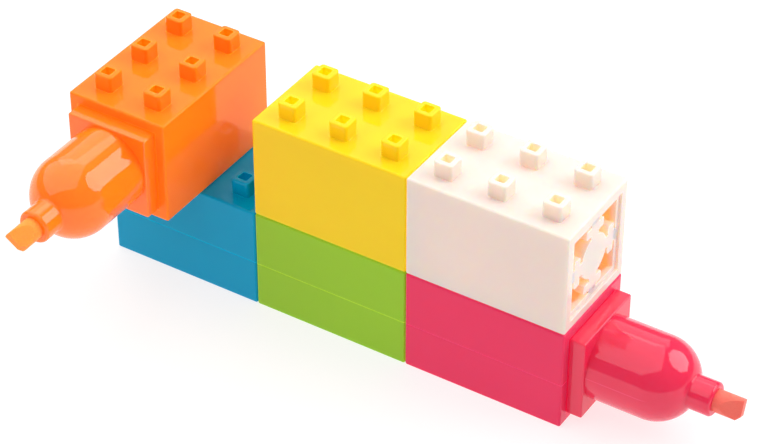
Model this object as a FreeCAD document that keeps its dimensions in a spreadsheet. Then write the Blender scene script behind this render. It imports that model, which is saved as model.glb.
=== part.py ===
"""Set of six interlocking brick highlighters, as a parametric FreeCAD document.

Each coloured brick is a highlighter: a hollow square housing with studs on top, stud sockets underneath
and a nose that carries the nib. The nose plugs into the open rear of the next brick, which caps it.
The white brick has no nose and closes the row.

A brick is drawn in its own frame: +X from the open rear to the nose, Y across, Z up from its underside.
The set's frame has its origin in the middle of the green brick's underside, with +X along the row.
"""
import FreeCAD, Part
import math
import os
import re

DOC = FreeCAD.newDocument("brick_highlighters")
SHEET = DOC.addObject("Spreadsheet::Sheet", "Dimensions")

# Driving dimensions: alias, millimetres, what it is.
DIMENSIONS = (
    ("pitch", 13.0, "stud spacing, along and across a brick"),
    ("seam", 0.1, "gap between neighbouring bricks"),
    ("brick_width", 25.1, "outer width of a brick"),
    ("brick_height", 25.3, "outer height of a brick without studs"),
    ("edge_radius", 0.5, "rounding of a brick's outer edges"),
    ("cavity_side", 21.1, "side of the square cavity"),
    ("front_wall", 2.0, "thickness of the front wall"),
    ("window_side", 18.0, "side of the square window in the front wall"),
    ("recess_side", 20.6, "side of the shallow recess round the window"),
    ("recess_depth", 0.6, "depth of that recess"),
    ("parting_width", 0.16, "width of the mould parting line"),
    ("parting_depth", 0.08, "depth of the mould parting line"),
    ("parting_height", 11.6, "height of the parting line above the underside"),
    ("stud_side", 4.6, "outer side of a hollow square stud"),
    ("stud_height", 3.9, "height of a stud above the brick's top"),
    ("stud_corner", 0.8, "rounding of a stud's upright edges"),
    ("stud_rim", 0.35, "rounding of a stud's top edges"),
    ("stud_hole", 2.5, "side of the square hole in a stud"),
    ("stud_hole_corner", 0.4, "rounding of the hole's upright edges"),
    ("stud_hole_depth", 3.4, "depth of the hole in a stud"),
    ("socket_side", 5.4, "side of the square stud socket"),
    ("cup_radius", 5.2, "outer radius of the sealing cup"),
    ("cup_bore", 3.95, "inner radius of the sealing cup"),
    ("cup_length", 12.5, "length of the sealing cup with its closed end"),
    ("cup_end", 1.8, "thickness of the cup's closed end"),
    ("arm_width", 3.0, "width of a spider arm"),
    ("arm_depth", 2.2, "depth of the spider along the brick"),
    ("bar_length", 7.2, "length of the crossbar on an arm"),
    ("bar_width", 2.2, "width of the crossbar"),
    ("bar_corner", 0.4, "rounding of the crossbar's corners"),
    ("bar_offset", 7.1, "distance of the crossbar from the cup's axis"),
    ("pad_side", 20.5, "side of the nose's locating pad"),
    ("flange_side", 20.3, "side of the square flange"),
    ("flange_length", 3.75, "thickness of the flange, which seats on the brick's front face"),
    ("flange_radius", 0.5, "corner radius of the flange"),
    ("flange_rim", 0.35, "rounding of the flange's front and rear rims"),
    ("barrel_radius", 9.5, "outer radius of barrel and dome"),
    ("barrel_reach", 16.0, "from the brick's front face to the dome's centre"),
    ("nose_wall", 1.2, "wall of barrel and dome"),
    ("collar_radius", 3.85, "outer radius of the nib collar"),
    ("collar_start", 21.5, "front face to the collar's inner end"),
    ("collar_reach", 29.95, "front face to the collar's outer end"),
    ("collar_round", 0.7, "rounding of the collar's outer end"),
    ("collar_root", 0.6, "fillet between collar and dome"),
    ("nib_radius", 2.52, "radius of the fibre nib"),
    ("nib_clearance", 0.03, "radial gap round the nib in its collar"),
    ("nib_reach", 36.15, "front face to the nib's tip"),
    ("nib_edge", 1.5, "thickness of the chisel edge"),
    ("nib_corner", 1.2, "cut at one corner of the chisel edge"),
    ("reservoir_radius", 8.0, "radius of the ink reservoir"),
    ("reservoir_start", 2.3, "front face to the reservoir's rear"),
    ("reservoir_end", 18.0, "front face to the reservoir's front"),
    ("plug_length", 2.4, "length of the barrel's rear plug"),
    ("plug_dish", 0.9, "depth of the dish in the rear plug"),
    ("plug_lip", 1.3, "width of the rim round that dish"),
)
ALIASES = {alias for alias, size, note in DIMENSIONS}
NIB_CHISEL_DEG = 22.0     # slope of each chisel face to the nib's axis
OVERCUT = 1.0             # how far a cutter runs past the face that it opens
OVERLAP = 1.0             # how far a stud's block reaches into the wall it grows from
TOUCH = 0.01              # two lengths closer than this are the same

# Studs and sockets: places along the brick and across it, in pitches from the brick's middle.
STUD_COLUMNS = (-1, 0, 1)
STUD_ROWS = (-0.5, 0.5)

# colour, place along the row (bricks from the green one), storey, turn about Z, nib turn about its axis
# (None for the brick with no nose), parting line visible, and play taken up in the sockets (x, y, z).
BRICKS = (
    ("green", 0, 0, 0, 20, True, (0, 0, 0)),
    ("blue", -1, 0, 0, -50, True, (0, 0, 0)),
    ("magenta", 1, 0, 0, 71, True, (0, 0, 0)),
    ("yellow", 0, 1, 0, 80, False, (0, 0, 0)),
    ("white", 1, 1, 0, None, False, (0, 0, 0)),
    ("orange", -1, 1, -90, 146, False, (-0.3, 0.3, 0.5)),
)

BRICK_LENGTH = "(3 * pitch - seam)"
AXIS_HEIGHT = "brick_height / 2"


def fill_sheet():
    """Write every driving dimension as text, with its alias and its meaning."""
    for row, (alias, size, note) in enumerate(DIMENSIONS, start=1):
        SHEET.set(f"A{row}", note)
        SHEET.set(f"B{row}", str(size))
        SHEET.setAlias(f"B{row}", alias)
    DOC.recompute()


def size_of(alias):
    """A driving dimension as a number, for what takes no expression."""
    return float(getattr(SHEET, alias))


def bind(item, name, formula):
    """Bind a property to a formula of the sheet's aliases."""
    item.setExpression(name, re.sub(r"[a-z_]+", in_sheet, str(formula)))


def in_sheet(match):
    """An alias in a formula, written as the sheet's cell."""
    word = match.group()
    return f"Dimensions.{word}" if word in ALIASES else word


def block(name, x, y, z):
    """A box between two formulas on each axis."""
    item = DOC.addObject("Part::Box", name)
    for prop, axis, (low, high) in (("Length", "x", x), ("Width", "y", y), ("Height", "z", z)):
        bind(item, prop, f"({high}) - ({low})")
        bind(item, f"Placement.Base.{axis}", low)
    return item


def square_block(name, side, x):
    """A square box centred on the brick's axis."""
    y = (f"-{side} / 2", f"{side} / 2")
    z = (f"{AXIS_HEIGHT} - {side} / 2", f"{AXIS_HEIGHT} + {side} / 2")
    return block(name, x, y, z)


def rod(name, radius, x):
    """A cylinder on the brick's axis between two formulas along it."""
    item = DOC.addObject("Part::Cylinder", name)
    item.Placement.Rotation = FreeCAD.Rotation(FreeCAD.Vector(0, 1, 0), 90)
    bind(item, "Radius", radius)
    bind(item, "Height", f"({x[1]}) - ({x[0]})")
    bind(item, "Placement.Base.x", x[0])
    bind(item, "Placement.Base.z", AXIS_HEIGHT)
    return item


def half_ball(name, radius, x):
    """The front half of a sphere on the brick's axis."""
    item = DOC.addObject("Part::Sphere", name)
    item.Placement.Rotation = FreeCAD.Rotation(FreeCAD.Vector(0, 1, 0), 90)
    item.Angle1 = 0
    bind(item, "Radius", radius)
    bind(item, "Placement.Base.x", x)
    bind(item, "Placement.Base.z", AXIS_HEIGHT)
    return item


def fuse(name, pieces):
    item = DOC.addObject("Part::MultiFuse", name)
    item.Shapes = pieces
    item.Refine = True
    return item


def cut(name, base, tool):
    item = DOC.addObject("Part::Cut", name)
    item.Base = base
    item.Tool = tool
    return item


def common(name, base, tool):
    item = DOC.addObject("Part::Common", name)
    item.Base = base
    item.Tool = tool
    return item


def rounded(name, base, radius, wanted):
    """Fillet the edges of base that the test wants."""
    DOC.recompute()
    picked = [number for number, edge in enumerate(base.Shape.Edges, start=1) if wanted(edge)]
    item = DOC.addObject("Part::Fillet", name)
    item.Base = base
    item.Edges = [(number, radius, radius) for number in picked]
    return item


def runs_along(edge, direction):
    """True for a straight edge along a direction."""
    ends = edge.Vertexes[-1].Point.sub(edge.Vertexes[0].Point)
    return ends.Length > 0 and abs(ends.normalize().dot(direction)) > 0.999


def lies_at_x(edge, places):
    """True for an edge that lies in one of the planes across the brick."""
    box = edge.BoundBox
    return box.XLength < TOUCH and any(abs(box.XMin - place) < TOUCH for place in places)


def brick_length():
    """A brick's length as a number, for edge picks and the nib's placement."""
    return 3 * size_of("pitch") - size_of("seam")


def front(formula="0"):
    """A place counted forward from the brick's front face."""
    return f"{BRICK_LENGTH} + {formula}"


def stud_places():
    """Middle of each stud or socket as formulas along and across the brick."""
    for column in STUD_COLUMNS:
        for row in STUD_ROWS:
            yield f"{BRICK_LENGTH} / 2 + {column} * pitch", f"{row} * pitch"


def post(name, side, x, y, z):
    """An upright square box about a middle given by formulas."""
    return block(name, (f"{x} - {side} / 2", f"{x} + {side} / 2"), (f"{y} - {side} / 2", f"{y} + {side} / 2"), z)


def parting_cutter(colour):
    """A thin frame round the brick that scores its mould parting line."""
    low = "parting_height - parting_width / 2"
    high = "parting_height + parting_width / 2"
    half = "brick_width / 2"
    outer = block(f"{colour}_parting_outer", (f"-{OVERCUT}", front(OVERCUT)),
                  (f"-{half} - {OVERCUT}", f"{half} + {OVERCUT}"), (low, high))
    inner = block(f"{colour}_parting_inner", ("parting_depth", front("-parting_depth")),
                  (f"-{half} + parting_depth", f"{half} - parting_depth"),
                  (f"{low} - {OVERCUT}", f"{high} + {OVERCUT}"))
    return cut(f"{colour}_parting", outer, inner)


def housing(colour, scored):
    """Square tube with a windowed front wall, six hollow studs on top and six sockets underneath."""
    shell = block(f"{colour}_block", ("0", BRICK_LENGTH), ("-brick_width / 2", "brick_width / 2"),
                  ("0", "brick_height"))
    shell = rounded(f"{colour}_block_rounded", shell, size_of("edge_radius"), lambda edge: True)
    added = [shell]
    cutters = [
        square_block(f"{colour}_cavity", "cavity_side", (f"-{OVERCUT}", front("-front_wall"))),
        square_block(f"{colour}_window", "window_side", (front(f"-front_wall - {OVERCUT}"), front(OVERCUT))),
        square_block(f"{colour}_recess", "recess_side", (front("-recess_depth"), front(OVERCUT))),
    ]
    upright = lambda edge: runs_along(edge, FreeCAD.Vector(0, 0, 1))
    stud_top = size_of("brick_height") + size_of("stud_height")
    floor = "(brick_height - cavity_side) / 2"
    for number, (x, y) in enumerate(stud_places(), start=1):
        stud = post(f"{colour}_stud_{number}", "stud_side", x, y,
                    (f"brick_height - {OVERLAP}", "brick_height + stud_height"))
        stud = rounded(f"{colour}_stud_{number}_cornered", stud, size_of("stud_corner"), upright)
        added.append(rounded(f"{colour}_stud_{number}_rounded", stud, size_of("stud_rim"),
                             lambda edge: edge.BoundBox.ZMin > stud_top - TOUCH))
        hole = post(f"{colour}_stud_hole_{number}", "stud_hole", x, y,
                    ("brick_height + stud_height - stud_hole_depth", f"brick_height + stud_height + {OVERCUT}"))
        hole = rounded(f"{colour}_stud_hole_{number}_rounded", hole, size_of("stud_hole_corner"), upright)
        cutters.append(hole)
        cutters.append(post(f"{colour}_socket_{number}", "socket_side", x, y,
                            (f"-{OVERCUT}", f"{floor} + {OVERCUT}")))
    if scored:
        cutters.append(parting_cutter(colour))
    body = fuse(f"{colour}_body", added)
    return cut(f"{colour}_housing_solid", body, fuse(f"{colour}_openings", cutters))


def seal_insert(colour):
    """Cup that seals round the nib, held in the front window by four arms with crossbars."""
    face = front("-recess_depth")
    depth = (front("-recess_depth - arm_depth"), face)
    half_arm = "arm_width / 2"
    reach = "window_side / 2"
    pieces = [
        rod(f"{colour}_cup", "cup_radius", (front("-recess_depth - cup_length"), face)),
        block(f"{colour}_arms_across", depth, (f"-{reach}", reach),
              (f"{AXIS_HEIGHT} - {half_arm}", f"{AXIS_HEIGHT} + {half_arm}")),
        block(f"{colour}_arms_upright", depth, (f"-{half_arm}", half_arm),
              (f"{AXIS_HEIGHT} - {reach}", f"{AXIS_HEIGHT} + {reach}")),
    ]
    long_half = "bar_length / 2"
    thin_half = "bar_width / 2"
    for side, sign in (("low", "-"), ("high", "")):
        middle = f"{sign}bar_offset"
        thin = (f"{middle} - {thin_half}", f"{middle} + {thin_half}")
        for way, y, z in (
            ("upright", thin, (f"-{long_half}", long_half)),
            ("across", (f"-{long_half}", long_half), thin),
        ):
            bar = block(f"{colour}_bar_{side}_{way}", depth, y, [f"{AXIS_HEIGHT} + ({end})" for end in z])
            pieces.append(rounded(f"{bar.Name}_rounded", bar, size_of("bar_corner"),
                                  lambda edge: runs_along(edge, FreeCAD.Vector(1, 0, 0))))
    bore = rod(f"{colour}_cup_bore", "cup_bore",
               (front(f"-recess_depth - cup_length - {OVERCUT}"), front("-recess_depth - cup_end")))
    return cut(f"{colour}_insert_solid", fuse(f"{colour}_spider", pieces), bore)


def nose_shell(colour):
    """Locating pad, flange, barrel, dome and nib collar in one hollow moulding."""
    length = brick_length()
    pad = square_block(f"{colour}_pad", "pad_side", (front("-recess_depth"), front()))
    flange = square_block(f"{colour}_flange", "flange_side", (front(), front("flange_length")))
    flange = rounded(f"{colour}_flange_cornered", flange, size_of("flange_radius"),
                     lambda edge: runs_along(edge, FreeCAD.Vector(1, 0, 0)))
    rims = [length, length + size_of("flange_length")]
    flange = rounded(f"{colour}_flange_rim", flange, size_of("flange_rim"), lambda edge: lies_at_x(edge, rims))
    outer = [
        pad, flange,
        rod(f"{colour}_barrel", "barrel_radius", (front(), front("barrel_reach"))),
        half_ball(f"{colour}_dome", "barrel_radius", front("barrel_reach")),
    ]
    inner = [
        rod(f"{colour}_barrel_bore", "barrel_radius - nose_wall",
            (front(f"-recess_depth - {OVERCUT}"), front("barrel_reach"))),
        half_ball(f"{colour}_dome_bore", "barrel_radius - nose_wall", front("barrel_reach")),
    ]
    shell = cut(f"{colour}_shell", fuse(f"{colour}_shell_outer", outer), fuse(f"{colour}_shell_inner", inner))
    collar = rod(f"{colour}_collar", "collar_radius", (front("collar_start"), front("collar_reach")))
    tip = length + size_of("collar_reach")
    collar = rounded(f"{colour}_collar_rounded", collar, size_of("collar_round"),
                     lambda edge: lies_at_x(edge, [tip]))
    joined = fuse(f"{colour}_shell_and_collar", [shell, collar])
    drop = math.sqrt(size_of("barrel_radius") ** 2 - size_of("collar_radius") ** 2)
    root = length + size_of("barrel_reach") + drop
    joined = rounded(f"{colour}_collar_root", joined, size_of("collar_root"),
                     lambda edge: lies_at_x(edge, [root]))
    bore = rod(f"{colour}_nib_bore", "nib_radius + nib_clearance",
               (front(f"collar_start - {OVERCUT}"), front(f"collar_reach + {OVERCUT}")))
    return cut(f"{colour}_nose_solid", joined, bore)


def nib_wedge(colour):
    """Prism that keeps the chisel's two slopes and clips one corner of its edge."""
    reach = size_of("nib_reach")
    start = size_of("reservoir_end")
    half_edge = size_of("nib_edge") / 2
    wide = 2 * size_of("nib_radius")
    slope = math.tan(math.radians(NIB_CHISEL_DEG))
    full = reach - (wide - half_edge) / slope
    side = [(start, -wide), (full, -wide), (reach, -half_edge), (reach, half_edge), (full, wide), (start, wide)]
    points = [FreeCAD.Vector(x, -wide, z) for x, z in side]
    prism = Part.Face(Part.makePolygon(points + points[:1])).extrude(FreeCAD.Vector(0, 2 * wide, 0))
    corner = size_of("nib_corner")
    edge_end = size_of("nib_radius")
    clip = [(reach, -edge_end + corner), (reach + wide, -edge_end + corner - wide), (reach + wide, -wide - corner),
            (reach - corner - wide, -wide - corner), (reach - corner, -edge_end)]
    points = [FreeCAD.Vector(x, y, -wide) for x, y in clip]
    clipper = Part.Face(Part.makePolygon(points + points[:1])).extrude(FreeCAD.Vector(0, 0, 2 * wide))
    item = DOC.addObject("Part::Feature", f"{colour}_nib_wedge")
    item.Shape = prism.cut(clipper)
    return item


def nib(colour, turn):
    """Fibre rod with a chisel tip, turned about its own axis."""
    wedge = nib_wedge(colour)
    length = brick_length()
    place = FreeCAD.Vector(length, 0, size_of("brick_height") / 2)
    wedge.Placement = FreeCAD.Placement(place, FreeCAD.Rotation(FreeCAD.Vector(1, 0, 0), turn))
    fibre = rod(f"{colour}_fibre", "nib_radius", (front("reservoir_end"), front("nib_reach")))
    return common(f"{colour}_nib_solid", fibre, wedge)


def reservoir(colour):
    """Ink-soaked felt cylinder behind the nib."""
    return rod(f"{colour}_reservoir_solid", "reservoir_radius", (front("reservoir_start"), front("reservoir_end")))


def rear_plug(colour):
    """Dished disc that closes the barrel behind the reservoir."""
    bore = "barrel_radius - nose_wall"
    disc = rod(f"{colour}_plug_disc", bore, (front("-recess_depth"), front("plug_length - recess_depth")))
    dish = rod(f"{colour}_plug_hollow", f"{bore} - plug_lip",
               (front(f"-recess_depth - {OVERCUT}"), front("plug_dish - recess_depth")))
    return cut(f"{colour}_plug_solid", disc, dish)


def place(item, brick):
    """Move a finished sub-part from its brick's frame to its place in the set."""
    colour, along, storey, turn, nib_turn, scored, play = brick
    if turn:
        # The turned brick sits across the row, on the first two stud columns of the brick under it.
        x = f"(3 * {along} - 0.5) * pitch + {play[0]}"
        y = f"{BRICK_LENGTH} / 2 - pitch / 2 + {play[1]}"
    else:
        x = f"3 * {along} * pitch - {BRICK_LENGTH} / 2"
        y = "0"
    z = f"{storey} * (brick_height + seam) + {play[2]}"
    item.Placement.Rotation = FreeCAD.Rotation(FreeCAD.Vector(0, 0, 1), turn)
    for axis, formula in (("x", x), ("y", y), ("z", z)):
        bind(item, f"Placement.Base.{axis}", formula)


def carrier(solid):
    """A compound of one solid that carries its placement in the set."""
    item = DOC.addObject("Part::Compound", f"{solid.Name}_placed")
    item.Links = [solid]
    return item


def build():
    """Make every brick and return its sub-parts in place."""
    made = []
    for brick in BRICKS:
        colour, along, storey, turn, nib_turn, scored, play = brick
        pieces = {"housing": housing(colour, scored), "seal_insert": seal_insert(colour)}
        if nib_turn is not None:
            pieces["nose_shell"] = nose_shell(colour)
            pieces["reservoir"] = reservoir(colour)
            pieces["rear_plug"] = rear_plug(colour)
            pieces["nib"] = nib(colour, nib_turn)
        for name, solid in pieces.items():
            item = carrier(solid)
            item.Label = f"{colour}_{name}"
            place(item, brick)
            made.append(item)
    DOC.recompute()
    return made


def check(made):
    """Stop if any object failed or any sub-part is not one sound solid."""
    for item in DOC.Objects:
        if {"Invalid", "Error"} & set(item.State):
            raise RuntimeError(f"{item.Name} failed: {item.State}")
    for item in made:
        shape = item.Shape
        if shape.isNull() or not shape.isValid() or len(shape.Solids) != 1:
            raise RuntimeError(f"{item.Label} is not one valid solid")


def write(made):
    os.makedirs("parts", exist_ok=True)
    for item in made:
        item.Shape.exportStep(f"parts/{item.Label}.step")
        box = item.Shape.BoundBox
        low = f"{box.XMin:.2f} {box.YMin:.2f} {box.ZMin:.2f}"
        high = f"{box.XMax:.2f} {box.YMax:.2f} {box.ZMax:.2f}"
        print(f"{item.Label}: {item.Shape.Volume:.1f} mm3, from {low} to {high}")


fill_sheet()
sub_parts = build()
check(sub_parts)
write(sub_parts)
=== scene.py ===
"""Looks of the brick highlighter set: materials, softened edges, floor, studio and camera, in metres."""
import math
import bpy
from mathutils import Matrix, Vector

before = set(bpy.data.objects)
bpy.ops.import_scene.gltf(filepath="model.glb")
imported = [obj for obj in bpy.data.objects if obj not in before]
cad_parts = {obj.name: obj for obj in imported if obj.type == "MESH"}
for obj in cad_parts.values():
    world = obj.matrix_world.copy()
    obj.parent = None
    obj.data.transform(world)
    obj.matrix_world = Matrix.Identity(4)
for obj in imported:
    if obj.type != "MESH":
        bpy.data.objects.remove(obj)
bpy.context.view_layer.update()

# Brightness of the room, the backdrop, the overhead panel and the right-hand softbox, where 1 is paper white.
ROOM = 0.22
BACKDROP = 1.0
PANEL = 1.3
SOFTBOX = 3.6
# The table is lit from below: its own glow, and how much of the light from above it returns.
TABLE_GLOW = 0.74
TABLE_ALBEDO = 0.30
# The table's side, and how far below the bricks it lies so that the two don't touch.
TABLE_SIDE = 6.0
TABLE_GAP = 0.00005

BLACK = (0.0, 0.0, 0.0)
WHITE = (1.0, 1.0, 1.0)

# Each colour, scene-linear: its plastic, how far its red, green and blue light travels inside (relative), a
# painted glow all over, which stands in partly for the plastic's fluorescence and partly for light filling
# its shade, and a stronger painted glow in its holes, which stands in for light trapped there. The
# highlighters also have ink-soaked fibre, and two have a nose whose plastic differs from the body's and one a
# nose with a painted glow of its own.
COLOURS = {
    "orange": dict(skin=(0.98, 0.25, 0.014), depth=(1.0, 0.45, 0.04), painted_glow=(0.24, 0.014, 0.0),
                   painted_hole_glow=(0.60, 0.11, 0.0), ink=(0.97, 0.34, 0.03), nose_skin=(0.98, 0.235, 0.014)),
    # Yellow's nose sits inside the white brick; its painted glow lights that brick's inside from within.
    "yellow": dict(skin=(0.97, 0.65, 0.014), depth=(1.0, 0.70, 0.04), painted_glow=(0.04, 0.035, 0.0),
                   painted_hole_glow=(0.45, 0.26, 0.0), ink=(0.93, 0.82, 0.03), painted_nose_glow=(0.14, 0.07, 0.015)),
    "white": dict(skin=(0.85, 0.765, 0.70), depth=(1.0, 0.62, 0.38), painted_glow=BLACK,
                  painted_hole_glow=(0.42, 0.16, 0.03)),
    "blue": dict(skin=(0.0, 0.31, 0.52), depth=(0.05, 0.5, 0.8), painted_glow=(0.0, 0.04, 0.07),
                 painted_hole_glow=(0.0, 0.06, 0.10), ink=(0.02, 0.36, 0.62)),
    "green": dict(skin=(0.33, 0.58, 0.030), depth=(0.6, 1.0, 0.1), painted_glow=(0.01, 0.025, 0.0),
                  painted_hole_glow=(0.10, 0.20, 0.0), ink=(0.42, 0.80, 0.06)),
    "magenta": dict(skin=(0.83, 0.046, 0.130), depth=(1.0, 0.08, 0.15), painted_glow=(0.07, 0.0, 0.008),
                    painted_hole_glow=(0.25, 0.0, 0.02), ink=(1.0, 0.19, 0.12), nose_skin=(0.86, 0.034, 0.095)),
}
PLUG_COLOUR = (0.72, 0.72, 0.70)
PLUG_DEPTH = (0.8, 0.8, 0.8)
# How much brighter than its body's painted glow the painted glow of the ink in a nib is.
PAINTED_NIB_GLOW = 1.6

# Finish of a brick's body, its nose and its rear plug: gloss is the roughness, glow the share of light that
# travels inside and reach how far, tint how far reflections take on the plastic's colour, edges how strongly
# sharp edges are painted paler as a highlight, and hollow how near other walls are where a spot counts as
# inside a hole and gets the painted hole glow.
BODY = dict(gloss=0.055, glow=0.6, reach=0.0018, tint=0.8, ior=1.5, edges=1.0, hollow=0.005)
NOSE = dict(gloss=0.05, glow=0.5, reach=0.0015, tint=0.1, ior=1.56, edges=0.0, hollow=0.005)
PLUG = dict(gloss=0.4, glow=0.1, reach=0.001, tint=0.0, ior=1.5, edges=0.0, hollow=0.005)
# Light travels further inside the white body, and its painted hole glow reaches spots further from the walls;
# the blue body reflects less.
BODY_CHANGES = {"white": dict(glow=1.0, reach=0.0030, hollow=0.012), "blue": dict(ior=1.42)}

# Noise scales per metre: the plastic's flow marks, patches of gloss, waviness and grain, and the felt's
# strands and pores.
FLOW_MARKS, GLOSS_PATCHES, WAVES, GRAIN = 55.0, 1900.0, 38.0, 1400.0
STRANDS, PORES = 4200.0, 900.0
# Height and strength of what those raise on the surface.
WAVE_BUMP = (0.0003, 0.05)
GRAIN_BUMP = (0.000006, 0.2)
STRAND_BUMP = (0.00006, 0.6)
# Radius within which an edge is painted paler as a highlight, and the widths that soften the inserts' and the
# nibs' edges.
EDGE_HIGHLIGHT_RADIUS = 0.0005
INSERT_EDGE = 0.0002
NIB_EDGE = 0.0006

# Mould lines, as height, start and end along the row: round the lower bricks, and on one barrel.
BRICK_LINE = (0.0116, -1.0, 1.0)
BARREL_LINE = (0.0134, 0.0622, 0.0770)
LINE_HALF_WIDTH = 0.00012
LINE_STRENGTH = 0.8
LOWER_ROW = ("blue", "green", "magenta")

# What the lights face, and the corner value of a light that keeps its corners.
LIT_POINT = (0.0, 0.0, 0.03)
SQUARE = 2.0


def sockets(node, **values):
    """Set several input sockets of a node. An underscore stands for a space in a socket's name."""
    for name, value in values.items():
        node.inputs[name.replace("_", " ")].default_value = value


def connect(tree, value, socket):
    """Feed a socket from another node's output, or set it to a number or a vector."""
    if isinstance(value, (float, tuple)):
        socket.default_value = value
    else:
        tree.links.new(value, socket)


def new_material(name):
    """A material with its shader and the object coordinates that every texture here uses."""
    material = bpy.data.materials.new(name)
    material.use_nodes = True
    tree = material.node_tree
    shader = tree.nodes["Principled BSDF"]
    coordinates = tree.nodes.new("ShaderNodeTexCoord").outputs["Object"]
    return material, tree, shader, coordinates


def noise(tree, vector, scale, detail=3.0, roughness=0.55):
    """Cloudy noise between 0 and 1."""
    node = tree.nodes.new("ShaderNodeTexNoise")
    tree.links.new(vector, node.inputs["Vector"])
    sockets(node, Scale=scale, Detail=detail, Roughness=roughness)
    return node.outputs["Fac"]


def stretch(tree, value, at_low, at_high, low=0.0, high=1.0, interpolation="LINEAR"):
    """A value stretched from the range low to high to another range, and held at its ends."""
    node = tree.nodes.new("ShaderNodeMapRange")
    node.interpolation_type = interpolation
    tree.links.new(value, node.inputs["Value"])
    sockets(node, From_Min=low, From_Max=high, To_Min=at_low, To_Max=at_high)
    return node.outputs["Result"]


def ramp(tree, value, stops):
    """A value read through a curve of straight runs between (input, output) stops."""
    node = tree.nodes.new("ShaderNodeValToRGB")
    tree.links.new(value, node.inputs["Fac"])
    while len(node.color_ramp.elements) < len(stops):
        node.color_ramp.elements.new(0.5)
    for element, (position, level) in zip(node.color_ramp.elements, stops):
        element.position = position
        element.color = (level, level, level, 1.0)
    return node.outputs["Color"]


def math_node(tree, operation, first, second=0.0):
    """A calculation on one or two numbers."""
    node = tree.nodes.new("ShaderNodeMath")
    node.operation = operation
    connect(tree, first, node.inputs[0])
    connect(tree, second, node.inputs[1])
    return node.outputs["Value"]


def vector_node(tree, operation, first, second=(0.0, 0.0, 0.0)):
    """A calculation on one or two vectors: a number for a dot product, otherwise a vector."""
    node = tree.nodes.new("ShaderNodeVectorMath")
    node.operation = operation
    connect(tree, first, node.inputs[0])
    connect(tree, second, node.inputs[1])
    return node.outputs["Value" if operation == "DOT_PRODUCT" else "Vector"]


def bump(tree, height, distance, strength, normal=None):
    """A normal disturbed by a height, on top of another normal if one is given."""
    node = tree.nodes.new("ShaderNodeBump")
    tree.links.new(height, node.inputs["Height"])
    sockets(node, Distance=distance, Strength=strength)
    if normal is not None:
        tree.links.new(normal, node.inputs["Normal"])
    return node.outputs["Normal"]


def mix(tree, factor, first, second):
    """The first colour where the factor is 0 and the second where it is 1."""
    node = tree.nodes.new("ShaderNodeMix")
    node.data_type = "RGBA"
    tree.links.new(factor, node.inputs["Factor"])
    for name, colour in (("A", first), ("B", second)):
        socket = next(s for s in node.inputs if s.name == name and s.type == "RGBA")
        connect(tree, (*colour, 1.0) if isinstance(colour, tuple) else colour, socket)
    return next(s for s in node.outputs if s.type == "RGBA")


def paler(colour):
    """A paler colour: the painted highlight on sharp edges, also used for the mould lines."""
    return tuple(channel + 0.6 * (1.0 - channel) * min(1.0, 2.0 * channel) for channel in colour)


def shade(colour, factor):
    """The colour made lighter or darker, and no brighter than 1."""
    return tuple(min(1.0, channel * factor) for channel in colour)


def edge_highlight_mask(tree):
    """Where the painted edge highlight goes: 1 on sharp corners and 0 on flat faces, by how far a rounded
    normal leaves the true one.
    """
    rounded = tree.nodes.new("ShaderNodeBevel")
    rounded.samples = 4
    sockets(rounded, Radius=EDGE_HIGHLIGHT_RADIUS)
    true_normal = tree.nodes.new("ShaderNodeNewGeometry").outputs["Normal"]
    agreement = vector_node(tree, "DOT_PRODUCT", rounded.outputs["Normal"], true_normal)
    return stretch(tree, agreement, 0.0, 1.0, 0.98, 0.80)


def hole_glow_mask(tree, hollow):
    """Where the painted hole glow goes: 1 deep in holes and behind the windows, 0 in the open and in the
    narrow seams.
    """
    openness = tree.nodes.new("ShaderNodeAmbientOcclusion")
    openness.samples = 8
    sockets(openness, Distance=hollow)
    return ramp(tree, openness.outputs["AO"], ((0.03, 0.0), (0.10, 1.0), (0.25, 1.0), (0.50, 0.0)))


def mould_line(tree, place, line):
    """1 on a thin level line, 0 elsewhere."""
    height, start, end = line
    split = tree.nodes.new("ShaderNodeSeparateXYZ")
    tree.links.new(place, split.inputs["Vector"])
    away = math_node(tree, "ABSOLUTE", math_node(tree, "SUBTRACT", split.outputs["Z"], height))
    near = stretch(tree, away, 1.0, 0.0, LINE_HALF_WIDTH * 0.6, LINE_HALF_WIDTH)
    along = math_node(tree, "MULTIPLY",
                      stretch(tree, split.outputs["X"], 0.0, 1.0, start, start + 0.0002),
                      stretch(tree, split.outputs["X"], 1.0, 0.0, end - 0.002, end))
    return math_node(tree, "MULTIPLY", near, along)


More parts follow.
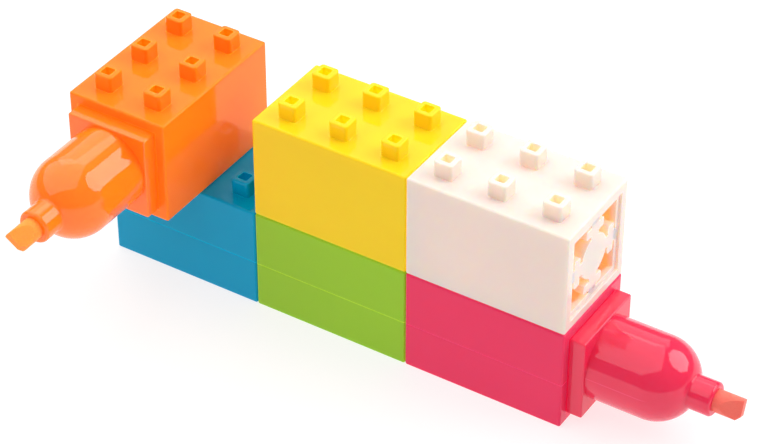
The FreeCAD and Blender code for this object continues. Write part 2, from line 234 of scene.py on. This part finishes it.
def plastic(name, colour, depth, painted_glow, painted_hole_glow, finish, line=None):
    """Moulded plastic: flow marks, glossy skin, a painted glow that is stronger in holes, a painted highlight
    on sharp edges, and light that travels inside.
    """
    material, tree, shader, place = new_material(name)
    body = mix(tree, noise(tree, place, FLOW_MARKS, 2.0), shade(colour, 0.96), shade(colour, 1.03))
    # Painted highlight: sharp edges turn paler.
    if finish["edges"]:
        body = mix(tree, stretch(tree, edge_highlight_mask(tree), 0.0, finish["edges"]), body, paler(colour))
    if line:
        on_line = stretch(tree, mould_line(tree, place, line), 0.0, LINE_STRENGTH)
        body = mix(tree, on_line, body, paler(colour))
    tree.links.new(body, shader.inputs["Base Color"])
    # Painted glow: emission all over that lifts the shade and stands in for fluorescence, and stronger deep
    # in holes, where it stands in for trapped light.
    glow = mix(tree, hole_glow_mask(tree, finish["hollow"]), painted_glow, painted_hole_glow)
    tree.links.new(glow, shader.inputs["Emission Color"])
    patches = noise(tree, place, GLOSS_PATCHES, 2.0)
    roughness = stretch(tree, patches, finish["gloss"] * 0.8, finish["gloss"] * 1.25)
    tree.links.new(roughness, shader.inputs["Roughness"])
    waves = bump(tree, noise(tree, place, WAVES, 1.0), *WAVE_BUMP)
    skin = bump(tree, noise(tree, place, GRAIN, 2.0), *GRAIN_BUMP, waves)
    tree.links.new(skin, shader.inputs["Normal"])
    strongest = max(colour)
    tint = finish["tint"]
    reflection = [1 - tint + tint * (channel / strongest) for channel in colour]
    sockets(shader, IOR=finish["ior"], Subsurface_Weight=finish["glow"], Subsurface_Scale=finish["reach"],
            Subsurface_Radius=depth, Specular_Tint=(*reflection, 1.0), Emission_Strength=1.0)
    return material


def fibre(name, colour, painted_glow):
    """Ink-soaked bonded fibre: level strands, darker pores between them, a matt skin, and a painted glow."""
    material, tree, shader, place = new_material(name)
    # Every nib points along the ground, so the strands are drawn out in both level directions.
    drawn_out = tree.nodes.new("ShaderNodeMapping")
    tree.links.new(place, drawn_out.inputs["Vector"])
    sockets(drawn_out, Scale=(0.45, 0.45, 1.0))
    strands = noise(tree, drawn_out.outputs["Vector"], STRANDS, 4.0, 0.65)
    woven = mix(tree, strands, shade(colour, 0.80), shade(colour, 1.12))
    pores = stretch(tree, noise(tree, place, PORES), 0.0, 0.2)
    tree.links.new(mix(tree, pores, woven, shade(colour, 0.72)), shader.inputs["Base Color"])
    tree.links.new(bump(tree, strands, *STRAND_BUMP), shader.inputs["Normal"])
    # The emission is a painted glow, standing in for the ink's fluorescence and brightening the nib.
    sockets(shader, Roughness=0.72, Sheen_Weight=0.2, Sheen_Roughness=0.5, Subsurface_Weight=0.5,
            Subsurface_Scale=0.001, Subsurface_Radius=colour, Emission_Color=(*painted_glow, 1.0),
            Emission_Strength=1.0)
    return material


def paint(node, material):
    """Give a CAD node a material."""
    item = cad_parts[node]
    item.data.materials.clear()
    item.data.materials.append(material)
    return item


def soften(item, width):
    """Round the sharp edges of a CAD node with modifiers, which leave its mesh as it is."""
    weld = item.modifiers.new("weld", "WELD")
    weld.merge_threshold = 0.000002
    bevel = item.modifiers.new("bevel", "BEVEL")
    bevel.width = width
    bevel.segments = 3
    bevel.limit_method = "ANGLE"
    bevel.angle_limit = math.radians(40)
    bevel.harden_normals = True


def dress():
    """Give every CAD node its material, and soften the inserts' and the nibs' edges."""
    plug = plastic("rear_plug", PLUG_COLOUR, PLUG_DEPTH, BLACK, BLACK, PLUG)
    for colour, look in COLOURS.items():
        skin, depth, painted_glow, painted_hole_glow = look["skin"], look["depth"], look["painted_glow"], look["painted_hole_glow"]
        finish = {**BODY, **BODY_CHANGES.get(colour, {})}
        body = plastic(f"{colour}_body", skin, depth, painted_glow, painted_hole_glow, finish,
                       BRICK_LINE if colour in LOWER_ROW else None)
        paint(f"{colour}_housing", body)
        soften(paint(f"{colour}_seal_insert", body), INSERT_EDGE)
        if "ink" not in look:
            continue
        nose = plastic(f"{colour}_nose", look.get("nose_skin", skin), depth,
                       look.get("painted_nose_glow", painted_glow), painted_hole_glow, NOSE,
                       BARREL_LINE if colour == "magenta" else None)
        paint(f"{colour}_nose_shell", nose)
        felt = fibre(f"{colour}_felt", look["ink"], shade(painted_glow, PAINTED_NIB_GLOW))
        paint(f"{colour}_reservoir", felt)
        soften(paint(f"{colour}_nib", felt), NIB_EDGE)
        paint(f"{colour}_rear_plug", plug)


def floor():
    """Pale seamless floor just under the lower row."""
    bpy.ops.mesh.primitive_plane_add(size=TABLE_SIDE, location=(0, 0, -TABLE_GAP))
    item = bpy.context.active_object
    item.name = "studio_floor"
    material, _, shader, _ = new_material("studio_floor")
    sockets(shader, Base_Color=(TABLE_ALBEDO, TABLE_ALBEDO, TABLE_ALBEDO, 1.0), Roughness=0.8,
            Emission_Color=(*WHITE, 1.0), Emission_Strength=TABLE_GLOW)
    item.data.materials.append(material)


def softbox(name, toward, distance, width, height, radiance, corner):
    """Softbox that faces LIT_POINT from a distance in the direction toward. radiance is what a mirror shows
    of it. The further corner is below SQUARE, the more of its corners is cut off."""
    toward = Vector(toward).normalized()
    light = bpy.data.lights.new(name, "AREA")
    light.shape = "RECTANGLE"
    light.size = width
    light.size_y = height
    light.energy = radiance * width * height * math.pi
    light.use_nodes = True
    tree = light.node_tree
    across = tree.nodes.new("ShaderNodeNewGeometry").outputs["Parametric"]
    off_centre = vector_node(tree, "ABSOLUTE", vector_node(tree, "SUBTRACT", across, (0.5, 0.5, 0.0)))
    slant = vector_node(tree, "DOT_PRODUCT", off_centre, (2.0, 2.0, 0.0))
    inside = stretch(tree, slant, 1.0, 0.0, corner - 0.04, corner, "SMOOTHSTEP")
    tree.links.new(inside, tree.nodes["Emission"].inputs["Strength"])
    item = bpy.data.objects.new(name, light)
    item.location = Vector(LIT_POINT) + toward * distance
    item.rotation_mode = "QUATERNION"
    item.rotation_quaternion = (-toward).to_track_quat("-Z", "Y")
    bpy.context.scene.collection.objects.link(item)


def studio():
    """A big weak panel overhead, a bright backdrop, a strong softbox on the right, and a dim room."""
    world = bpy.data.worlds.new("studio")
    bpy.context.scene.world = world
    world.use_nodes = True
    sockets(world.node_tree.nodes["Background"], Color=(*WHITE, 1.0), Strength=ROOM)
    softbox("overhead_panel", (-0.42, -0.18, 0.89), 0.60, 1.15, 1.15, PANEL, SQUARE)
    softbox("backdrop", (-0.43, 0.64, 0.64), 0.95, 0.95, 0.62, BACKDROP, SQUARE)
    softbox("right_softbox", (0.62, 0.45, 0.60), 0.70, 0.62, 0.62, SOFTBOX, 1.45)
    bpy.context.scene.view_settings.view_transform = "Standard"


def camera():
    """The camera looks down on the row's middle from the front right."""
    azimuth = math.radians(32.47)
    elevation = math.radians(37.59)
    distance = 0.606
    back = Vector((math.sin(azimuth) * math.cos(elevation), -math.cos(azimuth) * math.cos(elevation),
                   math.sin(elevation)))
    right = Vector((0, 0, 1)).cross(back).normalized()
    up = back.cross(right)
    # Near the middle of the row, level with the upper row's underside, then a small step that frames the set.
    near_middle = Vector((0.0, 0.00045, 0.0254))
    target = near_middle + right * 0.00413 - up * 0.00213
    data = bpy.data.cameras.new("camera")
    data.lens = 130.8
    data.sensor_width = 36.0
    item = bpy.data.objects.new("camera", data)
    facing = (-back).to_track_quat("-Z", "Y").to_matrix().to_4x4()
    item.matrix_world = Matrix.Translation(target + back * distance) @ facing
    bpy.context.scene.collection.objects.link(item)
    bpy.context.scene.camera = item


dress()
floor()
studio()
camera()
